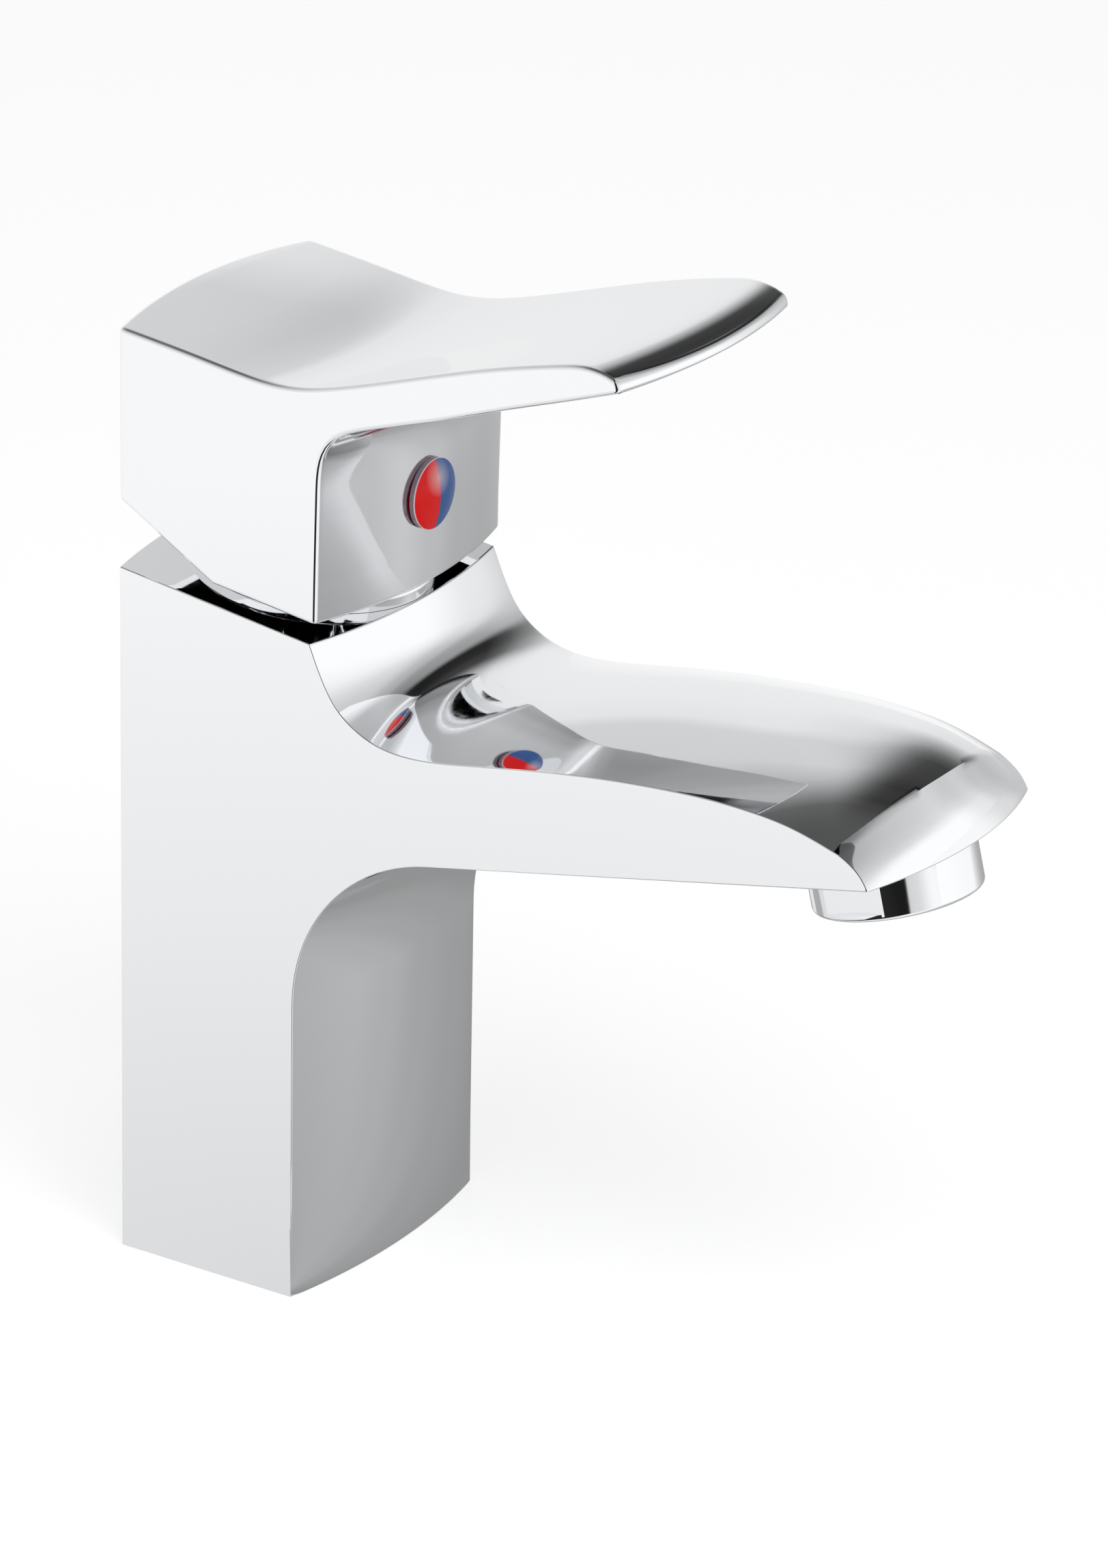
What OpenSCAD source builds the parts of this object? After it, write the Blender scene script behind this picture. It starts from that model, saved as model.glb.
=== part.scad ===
// Single-lever basin mixer. Millimetres, +Z up, the spout points along -Y.
// The origin is the centre of the column's foot, on the deck.

/* [Body] */
// Width across the flat side faces
body_w = 51.4; // [48:0.2:56]
// Depth of a side face at the foot, front edge to rear edge
side_depth = 32.8; // [32:0.2:36]
// Height of the body's top face above the deck, measured at the column's centre
top_z = 114.6; // [112:0.2:120]
// Forward slope of the top face, and so of the cartridge
slope = 7.5; // [5:0.5:9]
// Distance of the centre of the front's plan arc behind the column's centre
front_arc_y = 100; // [80:1:140]
// How far the rear face bulges past its side edges
rear_bulge = 2.9; // [1:0.1:4]

/* [Spout] */
// Reach of the spout's front edge at the side faces
spout_reach = 117.9; // [110:0.1:125]
// Width across the spout's front corners
spout_tip_w = 47.8; // [44:0.2:52]
// Slope of the spout's underside
under_slope = 10.9; // [8:0.1:13]
// Radius of the fillet between the column's front and the spout's underside
under_fillet = 30; // [24:1:32]
// Radius of the nose's arc across the spout, measured to the middle of its front
nose_r = 59.3; // [55:0.1:75]
// Lean of the nose's arc out of the horizontal
nose_lean = 30; // [25:0.5:35]
// Height of the axis, 60 mm in front of the column's centre, about which the spout's top is crowned
crown_axis_z = 26.3; // [22:0.1:30]
// Rise of that axis towards the nose
crown_rise = 19.4; // [17:0.1:21]

/* [Handle] */
// Gap between the body's top face and the handle's lower rim
handle_gap = 3.3; // [3:0.1:4]
// Reach of the lever's front edge
lever_reach = 76.2; // [74:0.2:77]
// Width across the lever's front corners
lever_tip_w = 48.2; // [44:0.2:50]
// Slope of the relief under the handle's rear half
relief_slope = 30; // [28:0.5:34]
// Distance of the centre of the handle's front arc behind the column's centre
handle_arc_y = 70; // [60:1:100]
// Wall thickness of the handle casting
handle_wall = 3; // [2.5:0.1:3.5]

/* [Cartridge] */
// Distance of the cartridge's axis in front of the column's centre, on the top face
axis_shift = 2.4; // [2:0.1:3]
// Radius of the cartridge housing
cart_r = 17.3; // [17:0.1:17.4]
// Depth of the cartridge chamber below the top face
chamber_depth = 24; // [23.5:0.1:24.5]
// Depth of the lever's pivot pin below the top face
pivot_depth = 3; // [2:0.1:4]
// Length of the spindle's arm below the pivot pin
arm = 8; // [7:0.1:8.5]
// Outer radius of the trim ring
ring_r = 19.4; // [19:0.1:20]

/* [Aerator] */
// Outer diameter of the aerator shell
aerator_d = 26.5; // [25:0.1:28]
// Distance of the aerator's lower rim centre in front of the column's centre
aerator_y = 109.6; // [106:0.1:112]
// Height of the aerator's lower rim centre above the deck
aerator_z = 84.2; // [82:0.1:86]
// Tilt of the aerator's axis, so that the jet leaves forwards
aerator_tilt = 14; // [10:0.5:18]

/* [Index button] */
// Radius of the button
button_r = 5.7; // [5:0.1:6.5]
// How far the lens stands out of the handle's face
lens_h = 2; // [1.6:0.1:2.4]
// Radius of the lens's domed front
lens_ball = 16; // [12:0.5:25]
// Height of the button's centre above the deck
button_z = 130; // [126:0.5:134]

/* [Base] */
// Distance between the two hose inlets
inlet_spacing = 29; // [28:0.5:30]
// Thread radius of a hose inlet (M10x1)
inlet_r = 5; // [4.5:0.1:5]
// Thread radius of the fixing stud's hole (M8), on the column's centre line
stud_r = 4; // [3:0.1:4]
// Depth of the cored recess in the foot
core_depth = 34; // [20:1:40]
// Wall thickness round the cored recess
foot_wall = 4.2; // [4:0.1:5]

/* [Hidden] */
$fn = 96;

fit = 0.06;                    // radial clearance of a running fit
half_w = body_w / 2;
half_tip = spout_tip_w / 2;
front_y = -side_depth / 2;
rear_y = side_depth / 2;
rear_arc_r = (half_w * half_w + rear_bulge * rear_bulge) / (2 * rear_bulge);
big_fn = 360;                  // facets round the large plan arcs
nose_from = -92;               // the nose's own surface starts in front of this
top_rise = tan(slope);
thread_depth = 16;
way_in_r = 2.8;                // radii of the drilled ways to and from the cartridge
way_out_r = 3.8;
way_end = [3, 97.3];           // the outlet way ends here, [behind the aerator's rim, z]

// Catmull-Rom curve through a few points, the end points doubled
function cr(a, b, c, d, t) = 0.5 * (2 * b + (c - a) * t + (2 * a - 5 * b + 4 * c - d) * t * t
    + (3 * b - a - 3 * c + d) * t * t * t);
function curve(p, n) = [for (i = [0:len(p) - 2], k = [0:n - 1])
    cr(p[max(i - 1, 0)], p[i], p[i + 1], p[min(i + 2, len(p) - 1)], k / n), p[len(p) - 1]];
function arc(c, r, a0, a1, n) = [for (k = [0:n]) let (a = a0 + (a1 - a0) * k / n)
    c + r * [cos(a), sin(a)]];
function top_at(y) = top_z + top_rise * y;

// Half width at a distance y: constant on the column, then a taper to the front corners
function half_at(y, tip_half, reach) = y > front_y ? half_w
    : half_w + (tip_half - half_w) * (y - front_y) / (-reach - front_y);

// Side view outline of the body at its flat side face, as [y, z]
under_corner = [front_y, 75.6];
under_t = under_fillet * tan((90 - under_slope) / 2);
fillet_c = under_corner + [-under_fillet, -under_t];
function under_z(y) = under_corner[1] - (y - front_y) * tan(under_slope);
spout_end = -spout_reach - 14;
column_side = concat([[30, -5], [front_y, -5]],
    arc(fillet_c, under_fillet, 0, 90 - under_slope, 12),
    [[spout_end, under_z(spout_end)], [spout_end, 120], [30, 120]]);
trough = [[-23, 102.2], [-27.2, 99.7], [-31.5, 98.1], [-37.3, 97.55], [-48.7, 98.9],
    [-71.9, 102.3], [-90.5, 103.4], [-104.1, 102.3], [-110.9, 100.55], [-116.4, 98.8],
    [-122, 96.8]];
collar_y = -29.6;              // the collar's fillet dips under the trough here
collar = [[-17.2, 118], [-19.3, 111.9], [-21.9, 106], [-24.2, 102.7], [-27, 100.2],
    [collar_y, 98.2]];
collar_side = concat([[30, 118]], curve(collar, 4), [[collar_y, -5], [30, -5]]);
nose_corner = [-116.8, 97];
nose_side = concat(curve([[-107.6, 103.6], [-111, 101.6], [-114.6, 99], nose_corner,
    [-spout_reach, under_z(-spout_reach)]], 4), [[-spout_reach - 0.5, 90], [-spout_reach - 0.6, 60]]);

// The spout's top and its nose are spun about inclined axes in the plane x = 0: an axis is a
// point on it and its rise from the -Y direction. A side view point lies `along` it and `off` it.
crown_axis = [[-60, crown_axis_z], crown_rise];
nose_axis = let (a = 90 + nose_lean, q = sqrt(nose_r * nose_r - half_tip * half_tip))
    [nose_corner + q * [sin(a), cos(a)], a];
function along(p, axis) = (axis[0][0] - p[0]) * cos(axis[1]) + (p[1] - axis[0][1]) * sin(axis[1]);
function off(p, axis) = (p[0] - axis[0][0]) * sin(axis[1]) + (p[1] - axis[0][1]) * cos(axis[1]);
crown_back = [45, -40];        // radius and place of the crown's rear end, inside the column
nose_back = [60, 70];          // the same for the nose's upper end, above the spout

// Side view outline of the handle
rim_z = top_z + handle_gap;
relief_y = -1;
lever_end = -75.8;
lever_under = [[-20.05, 112], [-20.3, 132], [-20.6, 139.3], [-22, 144.6], [-27.6, 148.2],
    [-39.5, 152.1], [-54.1, 157.2], [-63.7, 160.6], [lever_end, 164.4]];
lever_top = [[lever_end, 164.5], [-72.3, 165.6], [-70, 166.3], [-66.6, 166.7], [-55.6, 164.6],
    [-39.4, 159.7], [-22.9, 154.4], [-12, 152.7], [2.3, 154.2], [14, 155.6], [30, 157.2]];
handle_side = concat([[30, 100], [-20.05, 100]], curve(lever_under, 4), curve(lever_top, 4));
cavity_side = [[30, 100], [-17, 100], [-17, 139], [-14, 146], [-8, 148.5], [8, 150], [30, 150]];

// Spins a side view outline about the vertical line x = 0, y = arc_y, so that it passes through
// the side face's edges
module spin(side, arc_y, tip_half, reach) translate([0, arc_y])
    rotate_extrude($fn = big_fn) polygon(
        [for (p = side) [norm([arc_y - p[0], half_at(p[0], tip_half, reach)]), p[1]]]);

// Spins a side view line about an inclined axis, so that it passes through the spout's side edges
module inclined_spin(line, axis, back) translate([0, axis[0][0], axis[0][1]])
    rotate([90 - axis[1], 0, 0]) rotate_extrude($fn = big_fn) polygon(concat([[0, back[1]], back],
        [for (p = line) [norm([off(p, axis), half_at(p[0], half_tip, spout_reach)]), along(p, axis)]],
        [[0, along(line[len(line) - 1], axis)]]));

// Everything between the tapered side faces and in front of the rear face's arc
module between_sides(tip_half, reach, inset = 0) intersection() {
    translate([0, 0, -20]) linear_extrude(220) polygon([[-half_w + inset, 30],
        [-half_w + inset, front_y], [inset - half_at(-200, tip_half, reach), -200],
        [half_at(-200, tip_half, reach) - inset, -200], [half_w - inset, front_y],
        [half_w - inset, 30]]);
    union() {
        translate([0, rear_y + rear_bulge - rear_arc_r, -20])
            cylinder(h = 220, r = rear_arc_r - inset, $fn = big_fn);
        translate([-100, -200, -20]) cube([200, 200, 220]);
    }
}

// The half space below a plane through [0, y, z] that rises towards the rear
module below(y, z, rise) translate([0, y, z]) rotate([rise, 0, 0])
    translate([-150, -200, -250]) cube([300, 400, 250]);

// The cartridge's own frame: its axis is +Z and its origin lies on the body's top face
module on_axis() translate([0, -axis_shift, top_at(-axis_shift)]) rotate([slope, 0, 0]) children();
function axis_point(p) = [p[0], -axis_shift + p[1] * cos(slope) - p[2] * sin(slope),
    top_at(-axis_shift) + p[1] * sin(slope) + p[2] * cos(slope)];
// The aerator's own frame: +Z runs up its axis from the middle of its lower rim
module on_aerator() translate([0, -aerator_y, aerator_z]) rotate([-aerator_tilt, 0, 0]) children();

module tube(ro, ri, h0, h1) translate([0, 0, h0]) difference() {
    cylinder(h = h1 - h0, r = ro);
    translate([0, 0, -1]) cylinder(h = h1 - h0 + 2, r = ri);
}
module disc(r, h0, h1) translate([0, 0, h0]) cylinder(h = h1 - h0, r = r);
module drill(a, b, r) translate(a) let (v = b - a)
    rotate([0, acos(v[2] / norm(v)), atan2(v[1], v[0])]) rotate(40) cylinder(h = norm(v), r = r);

// Heights in the cartridge's frame
nut_top = 1.6;
ring_top = 2.2;
housing_top = -4.6;
housing_under = -7;
plate_under = -10.2;
carrier_under = -13.6;
moving_under = -16.9;
fixed_under = -19.95;
nut_r = 18.4;
neck_r = 10.9;
inner_r = 15.2;
port_in = [5.2, 4];
port_out = [0, -6.2];
spindle_top = 18;
spindle_w = 8;
spindle_d = 7;
ball_h = -pivot_depth - arm;
disc_r = 11.3;                 // moving disc and its carrier
port_in_r = 2.6;
port_out_r = 3.4;
seal_w = 1.7;                  // width of the seals round the ports, and the slack beside them
seal_gap = 0.05;
pin_r = 1.5;
screw_r = 2.5;
plug_r = 4.4;
lever_arc_r = 95;              // plan arc of the lever's front edge
lever_face_z = [163.5, 168];    // heights between which the lever's front face is cut
lever_lean = 30;               // its lean back from the upright

// Heights and radii in the aerator's frame
spigot_r = 11;
spigot_end = 2.6;
shell_h = 8.3;
shell_r = aerator_d / 2;
lip_r = 9.8;                   // opening of the shell's lower rim
insert_r = 10.9;               // flange of the insert, and the washer on it
core_r = 8.2;
well_r = 8.4;                  // the spout's well over the insert
bore_r = 7.4;                  // inside the insert, round the screens
wrench_w = 24.6;               // across the shell's two wrench flats

module ports(h0, h1, r_in, r_out) {
    for (s = [-1, 1]) translate([s * port_in[0], port_in[1]]) disc(r_in, h0, h1);
    translate(port_out) disc(r_out, h0, h1);
}

module foot_outline(inset) intersection() {
    translate([0, front_arc_y]) circle(r = norm([front_arc_y - front_y, half_w]) - inset,
        $fn = big_fn);
    translate([0, rear_y + rear_bulge - rear_arc_r]) circle(r = rear_arc_r - inset, $fn = big_fn);
    square([2 * (half_w - inset), 80], center = true);
}

// The recess cored into the foot, round the inlet and stud bosses and the web that joins them
module foot_core() difference() {
    translate([0, 0, -1]) linear_extrude(core_depth + 1) foot_outline(foot_wall);
    for (x = [-inlet_spacing / 2, 0, inlet_spacing / 2]) translate([x, 0, 0])
        cylinder(h = core_depth + 1, r = x == 0 ? 6.5 : 7.5);
    translate([-half_w, -2.5, 0]) cube([body_w, 5, core_depth + 1]);
}

module body() color("gainsboro") difference() {
    union() {
        intersection() {
            spin(column_side, front_arc_y, half_tip, spout_reach);
            between_sides(half_tip, spout_reach);
            translate([-60, -160, 0]) cube([120, 200, 130]);
            union() {
                intersection() {
                    spin(collar_side, front_arc_y, half_tip, spout_reach);
                    below(0, top_z, slope);
                }
                inclined_spin(curve(trough, 4), crown_axis, crown_back);
            }
            union() {
                inclined_spin(nose_side, nose_axis, nose_back);
                translate([-60, nose_from, -10]) cube([120, 200, 200]);
            }
        }
        on_aerator() {
            disc(spigot_r, spigot_end, 11);
            disc(shell_r - 0.35, shell_h + 0.05, 10.5);
        }
    }
    foot_core();
    translate([0, 0, -1]) linear_extrude(3) difference() {
        foot_outline(1);
        foot_outline(3.2);
    }
    for (s = [-1, 1]) {
        translate([s * inlet_spacing / 2, 0, 0]) disc(inlet_r, -1, thread_depth);
        drill([s * inlet_spacing / 2, 0, thread_depth - 1],
            axis_point([s * port_in[0], port_in[1], -chamber_depth + 1]), way_in_r);
    }
    disc(stud_r, -1, thread_depth + 4);
    on_axis() {
        disc(17.5, -chamber_depth, 8);
        disc(nut_r + fit, housing_top + 0.3, 8);
        translate(port_out) disc(way_out_r, -chamber_depth - 4, -chamber_depth + 1);
    }
    drill(axis_point([port_out[0], port_out[1] + 1, -chamber_depth - 2.4]),
        [0, -aerator_y + way_end[0], way_end[1]], way_out_r);
    on_aerator() disc(well_r, 0, 11.6);
}

module base_gasket() color("dimgray") linear_extrude(1.95) difference() {
    foot_outline(1.05);
    foot_outline(3.15);
}

module cartridge_base() color("white") on_axis() difference() {
    disc(cart_r, 0.03 - chamber_depth, fixed_under - 0.05);
    ports(-25, -19, port_in_r, port_out_r);
    ports(-25, -22.4, port_in_r + seal_w, port_out_r + seal_w);
    for (a = [90, 270]) rotate(a) translate([cart_r, 0, 0]) disc(1.4, -25, -19);
}

module port_seals() color("black") on_axis() {
    for (s = [-1, 1]) translate([s * port_in[0], port_in[1]])
        tube(port_in_r + seal_w - seal_gap, port_in_r, -23.95, -22.42);
    translate(port_out) tube(port_out_r + seal_w - seal_gap, port_out_r, -23.95, -22.42);
}

module fixed_disc() color("ivory") on_axis() difference() {
    disc(inner_r - 0.05, fixed_under, moving_under - 0.05);
    ports(-25, -10, port_in_r, port_out_r);
}

module cartridge_housing() color("lightgray") on_axis() difference() {
    disc(cart_r, fixed_under, housing_top);
    disc(inner_r, fixed_under - 1, housing_under);
    disc(neck_r + fit, -10, 0);
    for (a = [0:90:270]) rotate(a + 45) translate([cart_r, 0, 0]) disc(1.2, -21, -12);
}

module thrust_washer() color("whitesmoke") on_axis() tube(16.4, 12.6, housing_top + 0.02, -4.02);

module retaining_nut() color("goldenrod") on_axis() difference() {
    disc(nut_r, -4, nut_top);
    disc(12.4, -5, 3);
    translate([0, 0, nut_top]) rotate_extrude() polygon([[12.3, -1.2], [13.5, 0.01], [12.3, 0.01]]);
    for (a = [0:60:300]) rotate(a) translate([15.4, 0, nut_top - 0.9]) cylinder(h = 2, r = 1, $fn = 24);
}

module trim_ring() color("gainsboro") on_axis() rotate_extrude() polygon(concat(
    [[nut_r + 0.1, 0.05], [ring_r, 0.05]], arc([ring_r - 0.9, ring_top - 0.9], 0.9, 0, 90, 6),
    [[nut_r + 0.1, ring_top]]));

module aerator_shell() color("gainsboro") on_aerator() difference() {
    rotate_extrude() polygon(concat([[lip_r, 0]], arc([shell_r - 0.6, 0.6], 0.6, -90, 0, 5),
        [[shell_r, shell_h - 0.3], [shell_r - 0.3, shell_h], [spigot_r + fit, shell_h],
        [spigot_r + fit, 1], [lip_r, 1]]));
    for (s = [-1, 1]) translate([s * (wrench_w / 2 + 5) - 5, -10, 1.1]) cube([10, 20, 4.4]);
}

module aerator_washer() color("black") on_aerator() tube(insert_r, core_r + 0.4, 1.95, spigot_end - 0.03);

module aerator_insert() color("whitesmoke") on_aerator() difference() {
    union() {
        disc(lip_r - 0.1, 0.2, 1.1);
        disc(insert_r, 1.05, 1.9);
        disc(core_r, 1.8, 8);
    }
    disc(bore_r, 0, 7);
    for (a = [0:30:330]) rotate(a) translate([5, 0, 0]) cylinder(h = 10, r = 0.9, $fn = 24);
}

module aerator_screens() color("silver") on_aerator() for (h = [2.4, 3.4]) difference() {
    disc(bore_r - fit, h, h + 0.35);
    for (ring = [1:3], k = [0:6 * ring - 1]) rotate(360 * k / (6 * ring))
        translate([2.1 * ring, 0, h - 1]) cylinder(h = 3, r = 0.5, $fn = 16);
}

module aerator_nozzle() color("whitesmoke") on_aerator() difference() {
    disc(bore_r - fit, 0.3, 2.2);
    cylinder(h = 10, r = 0.75, $fn = 16, center = true);
    for (ring = [1:3], k = [0:6 * ring - 1]) rotate(360 * k / (6 * ring))
        translate([2.1 * ring, 0, -1]) cylinder(h = 5, r = 0.75, $fn = 16);
}

module sleeve() color("white") on_axis() difference() {
    union() {
        disc(neck_r, housing_under - 0.5, -0.5);
        disc(inner_r - fit, plate_under, housing_under - 0.05);
    }
    translate([-spindle_w / 2 - 0.15, -6.6, -12]) cube([spindle_w + 0.3, 12, 14]);
    translate([-20, 0, -pivot_depth]) rotate([0, 90, 0])
        cylinder(h = 40, r = pin_r + fit / 2);
    translate([0, 0, -5.8]) rotate_extrude() translate([9.35, -0.8]) square([3, 1.6]);
}

module sleeve_oring() color("black") on_axis() translate([0, 0, -5.8])
    rotate_extrude() translate([10.12, 0]) circle(r = 0.74, $fn = 24);

module pivot_pin() color("silver") on_axis() translate([-9.2, 0, -pivot_depth])
    rotate([0, 90, 0]) cylinder(h = 18.4, r = pin_r);

module disc_carrier() color("gray") on_axis() difference() {
    disc(disc_r, carrier_under, plate_under - 0.1);
    translate([-2.9, -2.65, ball_h - 3.5]) cube([5.8, 5.3, 6]);
}

module moving_disc() color("ivory") on_axis() difference() {
    disc(disc_r, moving_under, carrier_under - 0.05);
    for (s = [-1, 1]) translate([s * 4.4, 0]) disc(4.2, moving_under - 1, moving_under + 1.6);
    translate([-4.4, -4.2, moving_under - 1]) cube([8.8, 8.4, 2.6]);
}

module spindle() color("goldenrod") on_axis() {
    difference() {
        translate([-spindle_w / 2, -spindle_d / 2, -pivot_depth - 3])
            cube([spindle_w, spindle_d, spindle_top + pivot_depth + 3]);
        translate([-20, 0, -pivot_depth]) rotate([0, 90, 0])
        cylinder(h = 40, r = pin_r + fit / 2);
    }
    translate([-2.4, -1.8, ball_h]) cube([4.8, 3.6, arm - 2.9]);
    translate([0, 0, ball_h]) sphere(r = 2.4, $fn = 48);
}

lever_face_end = [lever_arc_r - (lever_face_z[1] - lever_face_z[0]) * tan(lever_lean),
    lever_face_z[1]];
module handle() color("gainsboro") difference() {
    intersection() {
        spin(handle_side, handle_arc_y, lever_tip_w / 2, lever_reach - 3);
        between_sides(lever_tip_w / 2, lever_reach - 3);
        translate([0, lever_arc_r - lever_reach, 0]) rotate_extrude($fn = big_fn) polygon([[0, 90],
            [lever_arc_r, 90], [lever_arc_r, lever_face_z[0]], lever_face_end, [0, lever_face_z[1]]]);
    }
    below(0, rim_z, slope);
    below(relief_y, rim_z + top_rise * relief_y, relief_slope);
    difference() {
        intersection() {
            spin(cavity_side, handle_arc_y, lever_tip_w / 2, lever_reach - 3);
            between_sides(lever_tip_w / 2, lever_reach - 3, handle_wall);
        }
        on_axis() disc(8.5, 6.5, 60);
        translate([0, 0, button_z]) rotate([90, 0, 0]) cylinder(h = 40, r = 5.6);
    }
    on_axis() translate([-spindle_w / 2 - 0.05, -spindle_d / 2 - 0.05, 0])
        cube([spindle_w + 0.1, spindle_d + 0.1, spindle_top + 0.3]);
    translate([0, -6, button_z]) rotate([90, 0, 0]) cylinder(h = 40, r = screw_r + 0.02);
    translate([0, -14, button_z]) rotate([90, 0, 0]) cylinder(h = 40, r = screw_r + 0.7);
    translate([0, -18, button_z]) rotate([90, 0, 0]) cylinder(h = 40, r = plug_r + 0.1);
}

screw_tip = axis_point([0, -spindle_d / 2, 0])[1] - (button_z - top_z) * sin(slope) - 0.5;
module grub_screw() color("dimgray") translate([0, screw_tip, button_z]) rotate([90, 0, 0])
    difference() {
        cylinder(h = 5, r = screw_r);
        translate([0, 0, 2.5]) cylinder(h = 4, r = 1.45, $fn = 6);
    }

// Front of the handle on its middle line, at the button's height
face_y = handle_arc_y - norm([handle_arc_y + 20.4, half_at(-20.4, lever_tip_w / 2, lever_reach - 3)]);
module on_face() translate([0, face_y, button_z]) rotate([90, 0, 0]) children();
module half_disc(side) difference() {
    disc(button_r - 0.3, 0.02, 0.3);
    translate([side > 0 ? -20 : 0, -10, -1]) cube([20, 20, 3]);
}

module button_plug() color("white") on_face() difference() {
    disc(plug_r, -5.6, 0);
    disc(3, -7, -1.2);
    for (a = [0, 90]) rotate(a) translate([-6, -0.5, -7]) cube([12, 1, 4]);
}

module button_hot() color("red") on_face() half_disc(-1);
module button_cold() color("royalblue") on_face() half_disc(1);

module button_lens() color("lightcyan", 0.4) on_face() rotate_extrude() polygon(concat(
    [[0, 0.32], [button_r - 0.25, 0.32], [button_r - 0.25, 0.02], [button_r, 0.02]],
    arc([0, lens_h - lens_ball], lens_ball, acos(button_r / lens_ball), 90, 12)));
body();
base_gasket();
cartridge_base();
port_seals();
fixed_disc();
cartridge_housing();
retaining_nut();
trim_ring();
thrust_washer();
aerator_shell();
aerator_washer();
aerator_insert();
aerator_screens();
aerator_nozzle();
sleeve();
sleeve_oring();
pivot_pin();
disc_carrier();
moving_disc();
spindle();
handle();
grub_screw();
button_plug();
button_hot();
button_cold();
button_lens();
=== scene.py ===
import math

import bmesh
import bpy
import numpy as np
from mathutils import Matrix, Vector


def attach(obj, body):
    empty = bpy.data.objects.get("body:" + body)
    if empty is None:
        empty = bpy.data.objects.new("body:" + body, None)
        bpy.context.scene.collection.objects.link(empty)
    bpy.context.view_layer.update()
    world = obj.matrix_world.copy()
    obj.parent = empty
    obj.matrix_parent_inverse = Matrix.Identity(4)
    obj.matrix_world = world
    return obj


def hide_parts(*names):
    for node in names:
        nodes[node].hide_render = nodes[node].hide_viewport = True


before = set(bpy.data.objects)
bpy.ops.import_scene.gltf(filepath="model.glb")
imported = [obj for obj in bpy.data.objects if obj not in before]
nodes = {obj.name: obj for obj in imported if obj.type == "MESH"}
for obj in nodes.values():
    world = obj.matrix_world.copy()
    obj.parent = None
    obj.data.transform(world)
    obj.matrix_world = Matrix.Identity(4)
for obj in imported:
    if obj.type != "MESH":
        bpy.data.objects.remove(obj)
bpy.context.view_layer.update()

mm = 0.001


def deselectAll():
    if bpy.context.object and bpy.context.object.mode != "OBJECT":
        bpy.ops.object.mode_set(mode="OBJECT")
    bpy.ops.object.select_all(action="DESELECT")


def makeActive(piece):
    deselectAll()
    piece.select_set(True)
    bpy.context.view_layer.objects.active = piece


def applyPlace(piece):
    makeActive(piece)
    bpy.ops.object.transform_apply(location=True, rotation=True, scale=True)


def applyModifier(piece, kind, **settings):
    makeActive(piece)
    modifier = piece.modifiers.new(kind.title(), kind)
    for key, value in settings.items():
        setattr(modifier, key, value)
    bpy.ops.object.modifier_apply(modifier=modifier.name)


def combine(piece, tool, operation="DIFFERENCE"):
    applyModifier(piece, "BOOLEAN", operation=operation, solver="EXACT", object=tool)
    bpy.data.objects.remove(tool)


def fixNormals(piece):
    makeActive(piece)
    bpy.ops.object.mode_set(mode="EDIT")
    bpy.ops.mesh.select_all(action="SELECT")
    bpy.ops.mesh.remove_doubles(threshold=1e-6)
    bpy.ops.mesh.normals_make_consistent(inside=False)
    bpy.ops.object.mode_set(mode="OBJECT")


def smoothFaces(piece, angle=32):
    makeActive(piece)
    bpy.ops.object.shade_smooth_by_angle(angle=math.radians(angle))
    applyModifier(piece, "WEIGHTED_NORMAL", keep_sharp=True, weight=90)


def finishPiece(piece, name, material, body, node):
    piece.name = name
    piece.data.materials.clear()
    piece.data.materials.append(material)
    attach(piece, body)
    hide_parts(node)


def cylinderAt(radius, low, high, place=Matrix.Identity(4), x=0, y=0, sides=96):
    deselectAll()
    bpy.ops.mesh.primitive_cylinder_add(vertices=sides, radius=radius * mm, depth=(high - low) * mm,
                                        location=(x * mm, y * mm, (low + high) / 2 * mm))
    piece = bpy.context.object
    bpy.context.view_layer.update()
    piece.matrix_world = place @ piece.matrix_world
    applyPlace(piece)
    return piece


def boxAt(low, high, place=Matrix.Identity(4)):
    deselectAll()
    bpy.ops.mesh.primitive_cube_add(size=1, location=[(a + b) / 2 * mm for a, b in zip(low, high)])
    piece = bpy.context.object
    piece.scale = [(b - a) * mm for a, b in zip(low, high)]
    bpy.context.view_layer.update()
    piece.matrix_world = place @ piece.matrix_world
    applyPlace(piece)
    return piece


def spinProfile(points, place, steps=128):
    # the outline is closed, in radius and height, and is spun round the piece's own axis
    deselectAll()
    bpy.ops.mesh.primitive_circle_add(vertices=len(points), radius=mm)
    piece = bpy.context.object
    for vertex, (radius, height) in zip(piece.data.vertices, points):
        vertex.co = (radius * mm, 0, height * mm)
    bpy.ops.object.mode_set(mode="EDIT")
    bpy.ops.mesh.select_all(action="SELECT")
    bpy.ops.mesh.spin(steps=steps, angle=2 * math.pi, center=(0, 0, 0), axis=(0, 0, 1))
    bpy.ops.object.mode_set(mode="OBJECT")
    piece.matrix_world = place
    applyPlace(piece)
    fixNormals(piece)
    return piece


def arcPoints(centre, radius, fromAngle, toAngle, count):
    angles = [math.radians(fromAngle + (toAngle - fromAngle) * k / count) for k in range(count + 1)]
    return [(centre[0] + radius * math.cos(a), centre[1] + radius * math.sin(a)) for a in angles]


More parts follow.
